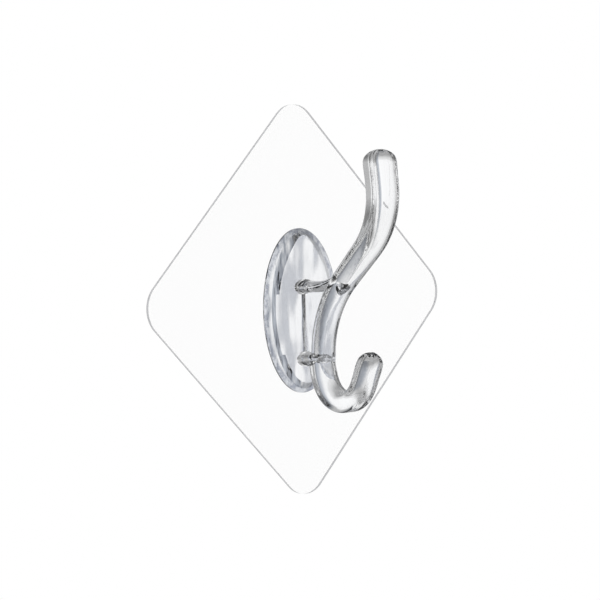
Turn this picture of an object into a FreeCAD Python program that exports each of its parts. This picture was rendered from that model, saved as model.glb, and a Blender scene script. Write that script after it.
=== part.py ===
import FreeCAD, Part
import math
import os

from FreeCAD import Vector

# A clear adhesive wall hook with two prongs, in millimetres. The wall is the plane y = 0 and the hook
# stands off it towards -Y, with +Z up. The origin is the middle of the adhesive face.

# Adhesive pad: a rounded square of clear film that hangs on its corner
pad_side = 60.0
pad_corner_radius = 6.0
film_thickness = 0.4
adhesive_thickness = 0.25

# Base: an oval foot with a thin ledge all round, then a bevel up to a flat face that narrows to a blunt top.
# Between the flanges the face is a little lower, where the slides of the mould met it.
base_width = 20.4
base_height = 33.7
base_centre_z = -2.2
base_rim = 0.3
shoulder_width = 17.0
shoulder_height = 31.9
shoulder_rise = 0.75
base_thickness = 1.6
face_width = 14.7
face_above_centre = 15.4
face_below_centre = 14.8
face_top_radius = 2.0
recess_depth = 0.35

# Section of the bar that makes both prongs, with its width along the wall and its depth off the wall
bar_edge_radius = 1.4
stem_width = 4.8
stem_depth = 3.75
upper_tip_width = 6.8
upper_tip_depth = 4.35
upper_tip_dome = 2.5
lower_root_width = 4.8
lower_root_depth = 4.5
lower_tip_width = 5.2
lower_tip_depth = 4.05
lower_tip_dome = 2.7

# Course of the bar, from its waist in the lower flange, where its front is closest to the wall
waist_front_y = -9.05
waist_z = -12.1
upper_bend_radius = 22.0
upper_lean_angle = 47.3
upper_run = 9.2
upper_return_radius = 15.2
upper_return_angle = 53.3
upper_tip_run = 4.45
lower_bend_radius = 12.2
lower_lean_angle = 24.0
cradle_radius = 5.9
cradle_angle = 131.0
lower_tip_run = 4.7

# Neck: two short oval flanges that flare where they leave the base, and a thin web between them
flange_root_width = 5.2
flange_end_width = 4.4
flange_depth = 2.5
upper_flange_end_depth = 1.9
flange_flare = 0.3
flange_flare_reach = 1.0
upper_flange_z = 2.7
upper_flange_run = 3.0
upper_flange_radius = 18.0
upper_flange_angle = 33.0
lower_flange_z = -12.1
web_thickness = 1.0
web_foot_radius = 0.5

# Places that follow from the sizes
film_back = -adhesive_thickness
film_front = film_back - film_thickness
rim_front = film_front - base_rim
shoulder_y = film_front - shoulder_rise
face_y = film_front - base_thickness
recess_y = face_y + recess_depth

# How finely the sections of the bar and of the flanges are set
BAR_STEP = 2.5
FLANGE_STEP = 0.7
DOME_ANGLES = (20, 38, 54, 68, 80, 87)


def rounded_square(side, radius, y_back, y_front):
    """A plate between two planes parallel to the wall, with rounded corners, standing on one corner."""
    plate = Part.makeBox(side, y_back - y_front, side, Vector(-side / 2, y_front, -side / 2))
    corners = [e for e in plate.Edges if abs(e.tangentAt(e.FirstParameter).y) > 0.99]
    plate = plate.makeFillet(radius, corners)
    plate.rotate(Vector(0, 0, 0), Vector(0, 1, 0), 45)
    return plate


def ellipse_arcs(width, height, y, turns):
    """Arcs of an upright ellipse about the base's centre, between turns from its top towards +X."""
    middle = Vector(0, y, base_centre_z)
    ellipse = Part.Ellipse(middle + Vector(0, 0, height / 2), middle + Vector(width / 2, 0, 0), middle)
    return [Part.ArcOfEllipse(ellipse, math.radians(start), math.radians(end)).toShape()
            for start, end in zip(turns, turns[1:])]


def oval(width, height, y):
    """An oval outline in five arcs, from its left end round by its top."""
    top = math.degrees(math.asin(2 * top_arc_end()[0] / face_width))
    return Part.Wire(ellipse_arcs(width, height, y, (-90, -top, top, 90, 180, 270)))


def top_arc_end():
    """The end of the face's blunt top, as x and height over the centre, and the side arc's radius."""
    half = face_width / 2
    centre = face_above_centre - face_top_radius
    radius = (half ** 2 + centre ** 2 - face_top_radius ** 2) / (2 * (half - face_top_radius))
    share = radius / (radius - face_top_radius)
    return (radius - half) * (share - 1), centre * share, radius


def face_outline():
    """The edge of the base's face in five arcs that match the oval's."""
    half = face_width / 2
    x, z, radius = top_arc_end()
    turn = math.asin(z / radius) / 2
    bend_x = half - radius + radius * math.cos(turn)
    bend_z = radius * math.sin(turn)

    def at(across, above):
        return Vector(across, face_y, base_centre_z + above)

    arcs = [Part.Arc(at(-half, 0), at(-bend_x, bend_z), at(-x, z)),
            Part.Arc(at(-x, z), at(0, face_above_centre), at(x, z)),
            Part.Arc(at(x, z), at(bend_x, bend_z), at(half, 0))]
    below = ellipse_arcs(face_width, 2 * face_below_centre, face_y, (90, 180, 270))
    return Part.Wire([arc.toShape() for arc in arcs] + below)


def make_base():
    """The foot of the hook: a low straight rim, a ledge, a bevel and a face with the recess across it."""
    rim = Part.Face(oval(base_width, base_height, film_front)).extrude(Vector(0, -base_rim, 0))
    shoulder = oval(shoulder_width, shoulder_height, shoulder_y)
    ledge = Part.makeLoft([oval(base_width, base_height, rim_front), shoulder], True, True)
    bevel = Part.makeLoft([shoulder, face_outline()], True, True)
    bottom = lower_flange_z + flange_depth / 2
    top = upper_flange_z - flange_depth / 2
    recess = Part.makeBox(base_width, base_thickness, top - bottom,
                          Vector(-base_width / 2, recess_y - base_thickness, bottom))
    return rim.multiFuse([ledge, bevel]).cut(recess)


def walk(start, heading, steps, spacing):
    """Places (y, z, heading) on straight runs and bends. A step is (None, length) or (radius, turn)."""
    y, z = start
    path = [(y, z, heading)]
    for radius, amount in steps:
        length = amount if radius is None else radius * math.radians(abs(amount))
        turn = 0.0 if radius is None else amount
        count = max(2, round(length / spacing))
        for _ in range(count):
            chord = length / count
            if turn:
                chord = 2 * radius * math.sin(math.radians(abs(turn)) / count / 2)
            heading += turn / count / 2
            y += chord * math.cos(math.radians(heading))
            z += chord * math.sin(math.radians(heading))
            heading += turn / count / 2
            path.append((y, z, heading))
    return path


def section(place, width, depth, edge_radius):
    """A rounded rectangle square to the course at one place along it."""
    y, z, heading = place
    middle = Vector(0, y, z)
    across = Vector(1, 0, 0)
    off = Vector(0, -math.sin(math.radians(heading)), math.cos(math.radians(heading)))
    radius = min(edge_radius, 0.49 * width, 0.49 * depth)
    sides = []
    for quarter in range(4):
        out = (across, off, -across, -off)[quarter]
        turned = (off, -across, -off, across)[quarter]
        reach, half = ((width / 2, depth / 2), (depth / 2, width / 2))[quarter % 2]
        corner = middle + out * (reach - radius) + turned * (half - radius)
        lean = (out + turned) * math.sqrt(0.5)
        sides.append((corner + out * radius, corner + lean * radius, corner + turned * radius))
    edges = []
    for (start, bend, end), following in zip(sides, sides[1:] + sides[:1]):
        edges.append(Part.Arc(start, bend, end).toShape())
        edges.append(Part.LineSegment(end, following[0]).toShape())
    return Part.Wire(edges)


def blend(start, end, share):
    """A value that eases from start to end as share goes from 0 to 1."""
    return start + (end - start) * share * share * (3 - 2 * share)


def limb_sections(places, root, tip, dome):
    """Sections along one prong, from its root to its rounded tip. Root and tip are (width, depth)."""
    sections = []
    for i, place in enumerate(places):
        share = i / (len(places) - 1)
        width = blend(root[0], tip[0], share)
        depth = blend(root[1], tip[1], share)
        sections.append(section(place, width, depth, bar_edge_radius))
    y, z, heading = places[-1]
    for angle in DOME_ANGLES:
        reach = dome * math.sin(math.radians(angle))
        shrink = math.cos(math.radians(angle))
        place = (y + reach * math.cos(math.radians(heading)),
                 z + reach * math.sin(math.radians(heading)), heading)
        sections.append(section(place, tip[0] * shrink, tip[1] * shrink, bar_edge_radius * shrink))
    return sections


def upper_course():
    steps = [(upper_bend_radius, upper_lean_angle), (None, upper_run),
             (upper_return_radius, -upper_return_angle), (None, upper_tip_run)]
    return walk((waist_front_y + stem_depth / 2, waist_z), 90.0, steps, BAR_STEP)


def lower_course():
    steps = [(lower_bend_radius, -lower_lean_angle), (cradle_radius, -cradle_angle), (None, lower_tip_run)]
    return walk((waist_front_y + lower_root_depth / 2, waist_z), -90.0, steps, BAR_STEP)


def make_prongs():
    """The upper prong with the stem under it, and the lower prong that curls up from the waist."""
    upper = limb_sections(upper_course(), (stem_width, stem_depth),
                          (upper_tip_width, upper_tip_depth), upper_tip_dome)
    lower = limb_sections(lower_course(), (lower_root_width, lower_root_depth),
                          (lower_tip_width, lower_tip_depth), lower_tip_dome)
    return [Part.makeLoft(upper, True, False), Part.makeLoft(lower, True, False)]


def upper_flange_course():
    steps = [(None, base_thickness + upper_flange_run), (upper_flange_radius, -upper_flange_angle)]
    return walk((rim_front, upper_flange_z), 180.0, steps, FLANGE_STEP)


def flange_section(place, width, depth):
    """An ellipse square to the course at one place along it."""
    y, z, heading = place
    middle = Vector(0, y, z)
    off = Vector(0, -math.sin(math.radians(heading)), math.cos(math.radians(heading)))
    ellipse = Part.Ellipse(middle + Vector(width / 2, 0, 0), middle + off * depth / 2, middle)
    return Part.Wire([ellipse.toShape()])


def make_flange(course, end_depth):
    """A short bar that flares where it leaves the base's face and narrows to its end inside the stem."""
    sections = []
    for i, place in enumerate(course):
        along = i / (len(course) - 1)
        width = blend(flange_root_width, flange_end_width, along)
        depth = blend(flange_depth, end_depth, along)
        share = min(1.0, max(0.0, (face_y - place[0]) / flange_flare_reach))
        flare = 2 * flange_flare * (1 - share) ** 2
        sections.append(flange_section(place, width + flare, depth + flare))
    return Part.makeLoft(sections, True, False)


def make_web(points):
    """A thin plate in the plane x = 0 with the given (y, z) outline, and its foot with hollow fillets."""
    half = web_thickness / 2
    corners = [Vector(-half, y, z) for y, z in points]
    plate = Part.Face(Part.makePolygon(corners + corners[:1])).extrude(Vector(web_thickness, 0, 0))
    wide = half + web_foot_radius
    bend = half + web_foot_radius * (1 - math.sqrt(0.5))
    bend_y = recess_y - web_foot_radius * (1 - math.sqrt(0.5))
    crest_y = recess_y - web_foot_radius

    def at(x, y):
        return Vector(x, y, lower_flange_z)

    left = Part.Arc(at(-wide, recess_y), at(-bend, bend_y), at(-half, crest_y))
    right = Part.Arc(at(half, crest_y), at(bend, bend_y), at(wide, recess_y))
    crest = Part.LineSegment(at(-half, crest_y), at(half, crest_y))
    root = Part.makePolygon([at(wide, recess_y), at(wide, rim_front),
                             at(-wide, rim_front), at(-wide, recess_y)])
    outline = Part.Wire([left.toShape(), crest.toShape(), right.toShape()] + root.Edges)
    return [plate, Part.Face(outline).extrude(Vector(0, 0, upper_flange_z - lower_flange_z))]


def make_neck():
    """The two flanges and the web, each carried into the base and into the middle of the stem."""
    upper = upper_flange_course()
    reach = rim_front - waist_front_y - stem_depth / 2
    lower = walk((rim_front, lower_flange_z), 180.0, [(None, reach)], FLANGE_STEP)
    stem = [(y, z) for y, z, heading in upper_course() if z < upper[-1][1]]
    points = [(rim_front, lower_flange_z)] + stem + [(y, z) for y, z, heading in reversed(upper)]
    return [make_flange(upper, upper_flange_end_depth), make_flange(lower, flange_depth)] + make_web(points)


def make_hook():
    """The hook as one moulded piece."""
    return make_base().multiFuse(make_neck() + make_prongs()).removeSplitter()


def export(name, shape):
    shape.exportStep(os.path.join("parts", name + ".step"))


def build():
    os.makedirs("parts", exist_ok=True)
    export("hook", make_hook())
    export("backing_sheet", rounded_square(pad_side, pad_corner_radius, film_back, film_front))
    export("adhesive_layer", rounded_square(pad_side, pad_corner_radius, 0.0, film_back))


build()
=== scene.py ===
import math

import bpy
from mathutils import Matrix, Vector


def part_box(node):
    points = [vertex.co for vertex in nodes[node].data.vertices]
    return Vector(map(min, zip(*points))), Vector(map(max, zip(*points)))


# The looks of a clear adhesive wall hook, in metres. The wall is the plane y = 0, the hook stands off it
# towards -Y, and +Z is up.

# Camera, in degrees with the azimuth from -Y towards +X, and where its lens stands
CAMERA_AZIMUTH = -42.27
CAMERA_ELEVATION = 2.40
CAMERA_ROLL = -1.89
CAMERA_PLACE = (-0.3621, -0.3990, 0.0225)
CAMERA_LENS_MM = 157.9
CAMERA_SENSOR_MM = 36.0
CAMERA_CLIP_START = 0.01

# Floor, out of the picture below the hook
FLOOR_SIZE = 0.5
FLOOR_DROP = 0.16
FLOOR_COLOUR = (0.9, 0.9, 0.9)
FLOOR_ROUGHNESS = 0.8

# The hook's plastic
PLASTIC_TINT = (0.982, 0.987, 0.995)
PLASTIC_IOR = 1.49

# The film and the adhesive, with the share of light that goes straight through each, and how much their cut
# edge covers. The grey where the cut edge is seen is painted shade, standing in for light bent at the edge.
FILM_TINT_AND_EDGE_SHADE = (0.35, 0.36, 0.40)
FILM_ROUGHNESS = 0.08
FILM_CLEARNESS = 0.992
ADHESIVE_CLEARNESS = 0.994
CUT_EDGE_SHADE_COVER = 0.55
FILM_SET_BACK = 0.00001

# Everything that runs along the hook's height, the flow lines in the moulding and the painted reflection
# streaks, is drawn out along Z by this scale
DRAWN_OUT = (1.0, 1.0, 0.3)

# Painted reflections and shade, as faint streaks on the hook's flat back, where it is bonded to the film. The
# back begins between two values of y, given as (none, full).
PAINTED_BACK_BEGINS = (-0.0008, -0.0007)
REFLECTION_STREAK_SCALE = 330.0
REFLECTION_STREAK_DETAIL = 1.0
PAINTED_REFLECTION_STREAKS = [(0.40, (0.33, 0.35, 0.40)), (0.60, (0.92, 0.93, 0.95))]

# Painted shade on the back of the oval base: from its middle (0) to its outline (1), it turns darker and
# mottled near the outline
BASE_MIDDLE_Z = -0.0022
BASE_HALF_WIDTH = 0.0102
BASE_HALF_HEIGHT = 0.01685
RIM_SHADE_BEGINS = (0.86, 0.91)
RIM_SHADE_SCALE = 900.0
RIM_SHADE_DETAIL = 2.0
RIM_PAINTED_SHADE = [(0.38, (0.19, 0.21, 0.27)), (0.64, (0.53, 0.56, 0.62))]

# Flow lines in the moulding, as a bump. They grow from a small share on the prongs to their full height in
# the base, between two values of y.
FLOW_SCALE = 400.0
FLOW_DETAIL = 2.0
FLOW_HEIGHT = 0.0003
FLOW_GROWS = (-0.0045, -0.0023)
FLOW_SHARES = (0.05, 1.0)

# Soft light of the room, by the direction it comes from: the bright wall behind the hook, two narrow bright
# bands towards the front, and greyer light between them. Turns run from -Y (0) by -X (0.25), +Y (0.5) and
# +X (0.75) back to -Y, and heights from straight below (0) to straight above (1).
ROUND_LIGHT = [(0.0, 0.45), (0.125, 0.30), (0.145, 0.95), (0.175, 0.95), (0.20, 0.30), (0.29, 0.30),
               (0.35, 0.95), (0.44, 0.95), (0.48, 0.65), (0.53, 0.90), (0.57, 1.0), (0.645, 1.0),
               (0.68, (0.48, 0.51, 0.56)), (0.72, (0.24, 0.26, 0.30)), (0.75, 0.60), (0.78, 0.50),
               (0.81, 0.45), (0.88, 0.45), (0.91, 0.92), (0.95, 0.95), (0.975, 0.45), (1.0, 0.45)]
HEIGHT_LIGHT = [(0.0, 0.45), (0.30, 0.40), (0.43, 0.8), (0.455, 1.0), (0.53, 1.0), (0.60, 0.95),
                (0.67, 0.50), (0.80, 0.45), (0.92, 1.0), (1.0, 1.0)]
WHITE = (1.0, 1.0, 1.0, 1.0)


def principled(name, **values):
    """A material with constant values on its Principled shader."""
    material = bpy.data.materials.new(name)
    material.use_nodes = True
    shader = material.node_tree.nodes["Principled BSDF"]
    for socket, value in values.items():
        shader.inputs[socket.replace("_", " ")].default_value = value
    return material


def feed(tree, socket, value):
    """Sets a socket to a number or colour, or links it to another node's output."""
    if isinstance(value, (int, float, tuple)):
        socket.default_value = value
    else:
        tree.links.new(value, socket)


def sums(tree, operation, first, second=0.0):
    """One arithmetic node."""
    node = tree.nodes.new("ShaderNodeMath")
    node.operation = operation
    for socket, value in zip(node.inputs, (first, second)):
        feed(tree, socket, value)
    return node.outputs["Value"]


def spread(tree, value, limits, results=(0.0, 1.0)):
    """A value brought from between two limits to between two results."""
    node = tree.nodes.new("ShaderNodeMapRange")
    for name, number in zip(("From Min", "From Max", "To Min", "To Max"), (*limits, *results)):
        node.inputs[name].default_value = number
    tree.links.new(value, node.inputs["Value"])
    return node.outputs["Result"]


def split(tree, vector):
    """The X, Y and Z of a vector."""
    node = tree.nodes.new("ShaderNodeSeparateXYZ")
    tree.links.new(vector, node.inputs["Vector"])
    return [node.outputs[name] for name in ("X", "Y", "Z")]


def noise(tree, where, scale, detail):
    """Soft noise, mostly between 0.3 and 0.7."""
    node = tree.nodes.new("ShaderNodeTexNoise")
    node.inputs["Scale"].default_value = scale
    node.inputs["Detail"].default_value = detail
    tree.links.new(where, node.inputs["Vector"])
    return node.outputs["Fac"]


def ramp(tree, value, stops):
    """A colour that follows stops of (place, brightness or colour) along a value from 0 to 1."""
    node = tree.nodes.new("ShaderNodeValToRGB")
    node.color_ramp.interpolation = "EASE"
    marks = node.color_ramp.elements
    marks.remove(marks[0])
    for place, shade in stops:
        mark = marks[0] if place == stops[0][0] else marks.new(place)
        mark.position = place
        mark.color = (*(shade if isinstance(shade, tuple) else [shade] * 3), 1.0)
    tree.links.new(value, node.inputs["Fac"])
    return node.outputs["Color"]


def colour_mix(tree, blend, factor, first, second):
    """Two colours mixed by a factor."""
    node = tree.nodes.new("ShaderNodeMix")
    node.data_type = "RGBA"
    node.blend_type = blend
    for name, value in (("Factor", factor), ("A", first), ("B", second)):
        feed(tree, node.inputs[name], value)
    return node.outputs["Result"]


def clear_plastic():
    """Clear moulded plastic, with flow lines, and painted reflections and shade on its back where it is
    bonded to the film.
    """
    material = principled("clear_plastic", Base_Color=(*PLASTIC_TINT, 1.0), Roughness=0.0, IOR=PLASTIC_IOR,
                          Transmission_Weight=1.0)
    tree = material.node_tree
    shader = tree.nodes["Principled BSDF"]
    where = tree.nodes.new("ShaderNodeTexCoord").outputs["Object"]
    x, y, z = split(tree, where)
    mapping = tree.nodes.new("ShaderNodeMapping")
    mapping.inputs["Scale"].default_value = DRAWN_OUT
    tree.links.new(where, mapping.inputs["Vector"])
    drawn_out = mapping.outputs["Vector"]

    across = sums(tree, "DIVIDE", x, BASE_HALF_WIDTH)
    above = sums(tree, "DIVIDE", sums(tree, "SUBTRACT", z, BASE_MIDDLE_Z), BASE_HALF_HEIGHT)
    squares = sums(tree, "ADD", sums(tree, "POWER", across, 2.0), sums(tree, "POWER", above, 2.0))
    rim_shade_share = spread(tree, sums(tree, "SQRT", squares), RIM_SHADE_BEGINS)
    # Painted reflections and shade on the hook's back, as streaks drawn out along Z
    reflection_streaks = ramp(tree, noise(tree, drawn_out, REFLECTION_STREAK_SCALE, REFLECTION_STREAK_DETAIL), PAINTED_REFLECTION_STREAKS)
    # Painted shade, darker and mottled near the outline of the base's back
    rim_shade = ramp(tree, noise(tree, where, RIM_SHADE_SCALE, RIM_SHADE_DETAIL), RIM_PAINTED_SHADE)
    painted_back_light = colour_mix(tree, "MIX", rim_shade_share, reflection_streaks, rim_shade)
    painted_back = colour_mix(tree, "MIX", spread(tree, y, PAINTED_BACK_BEGINS), (*PLASTIC_TINT, 1.0), painted_back_light)
    tree.links.new(painted_back, shader.inputs["Base Color"])

    flow = noise(tree, drawn_out, FLOW_SCALE, FLOW_DETAIL)
    bump = tree.nodes.new("ShaderNodeBump")
    bump.inputs["Distance"].default_value = FLOW_HEIGHT
    height = sums(tree, "MULTIPLY", flow, spread(tree, y, FLOW_GROWS, FLOW_SHARES))
    tree.links.new(height, bump.inputs["Height"])
    tree.links.new(bump.outputs["Normal"], shader.inputs["Normal"])
    return material


def clear_film(name, clearness):
    """A film too thin to bend light, nearly clear, with painted shade where its cut edge is seen."""
    material = principled(name, Base_Color=(*FILM_TINT_AND_EDGE_SHADE, 1.0), Roughness=FILM_ROUGHNESS)
    tree = material.node_tree
    normal = tree.nodes.new("ShaderNodeNewGeometry").outputs["True Normal"]
    facing_wall = sums(tree, "ABSOLUTE", split(tree, normal)[1])
    # The grey on the cut edge is painted shade, standing in for light bent at the edge
    cover = spread(tree, facing_wall, (0.0, 1.0), (CUT_EDGE_SHADE_COVER, 1.0 - clearness))
    tree.links.new(cover, tree.nodes["Principled BSDF"].inputs["Alpha"])
    return material


def light_room():
    """Soft light from all round, and a plain white background for the camera."""
    world = bpy.data.worlds.new("room")
    bpy.context.scene.world = world
    world.use_nodes = True
    tree = world.node_tree
    x, y, z = split(tree, tree.nodes.new("ShaderNodeTexCoord").outputs["Generated"])
    turn = sums(tree, "ADD", sums(tree, "DIVIDE", sums(tree, "ARCTAN2", x, y), 2 * math.pi), 0.5)
    height = sums(tree, "ADD", sums(tree, "MULTIPLY", z, 0.5), 0.5)
    room = colour_mix(tree, "MULTIPLY", 1.0, ramp(tree, turn, ROUND_LIGHT), ramp(tree, height, HEIGHT_LIGHT))
    to_camera = tree.nodes.new("ShaderNodeLightPath").outputs["Is Camera Ray"]
    shown = colour_mix(tree, "MIX", to_camera, room, WHITE)
    tree.links.new(shown, tree.nodes["Background"].inputs["Color"])


def lay_floor(lowest):
    """A pale floor, below the lowest point of the hook."""
    bpy.ops.mesh.primitive_plane_add(size=FLOOR_SIZE, location=(0, 0, lowest - FLOOR_DROP))
    floor = bpy.context.object
    floor.name = "floor"
    white = principled("floor_white", Base_Color=(*FLOOR_COLOUR, 1.0), Roughness=FLOOR_ROUGHNESS)
    floor.data.materials.append(white)


def place_camera():
    """The photograph's point of view."""
    azimuth, elevation, roll = (math.radians(a) for a in (CAMERA_AZIMUTH, CAMERA_ELEVATION, CAMERA_ROLL))
    back = Vector((math.sin(azimuth) * math.cos(elevation), -math.cos(azimuth) * math.cos(elevation),
                   math.sin(elevation)))
    right = Vector((math.cos(azimuth), math.sin(azimuth), 0.0))
    turned = Matrix((right, back.cross(right), back)).transposed().to_4x4()
    data = bpy.data.cameras.new("camera")
    data.lens = CAMERA_LENS_MM
    data.sensor_width = CAMERA_SENSOR_MM
    data.clip_start = CAMERA_CLIP_START
    camera = bpy.data.objects.new("camera", data)
    camera.matrix_world = Matrix.Translation(CAMERA_PLACE) @ turned @ Matrix.Rotation(roll, 4, "Z")
    bpy.context.scene.collection.objects.link(camera)
    bpy.context.scene.camera = camera


def dress(node, material):
    """Gives a node one material."""
    node.data.materials.clear()
    node.data.materials.append(material)


def set_back(node):
    """Shows a layer a little nearer the wall, so that light leaving the piece in front never starts in it."""
    shift = node.modifiers.new("set_back", "DISPLACE")
    shift.direction = "Y"
    shift.mid_level = 0.0
    shift.strength = FILM_SET_BACK


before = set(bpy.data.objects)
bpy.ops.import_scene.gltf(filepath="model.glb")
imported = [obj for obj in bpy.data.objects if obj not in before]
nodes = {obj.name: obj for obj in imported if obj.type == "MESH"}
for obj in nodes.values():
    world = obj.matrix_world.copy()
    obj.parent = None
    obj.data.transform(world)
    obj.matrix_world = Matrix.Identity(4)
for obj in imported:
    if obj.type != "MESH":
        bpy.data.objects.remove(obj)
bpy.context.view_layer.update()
dress(nodes["hook"], clear_plastic())
dress(nodes["backing_sheet"], clear_film("clear_film", FILM_CLEARNESS))
dress(nodes["adhesive_layer"], clear_film("clear_adhesive", ADHESIVE_CLEARNESS))
set_back(nodes["backing_sheet"])
lay_floor(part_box("backing_sheet")[0].z)
light_room()
place_camera()
bpy.context.scene.view_settings.view_transform = "Standard"
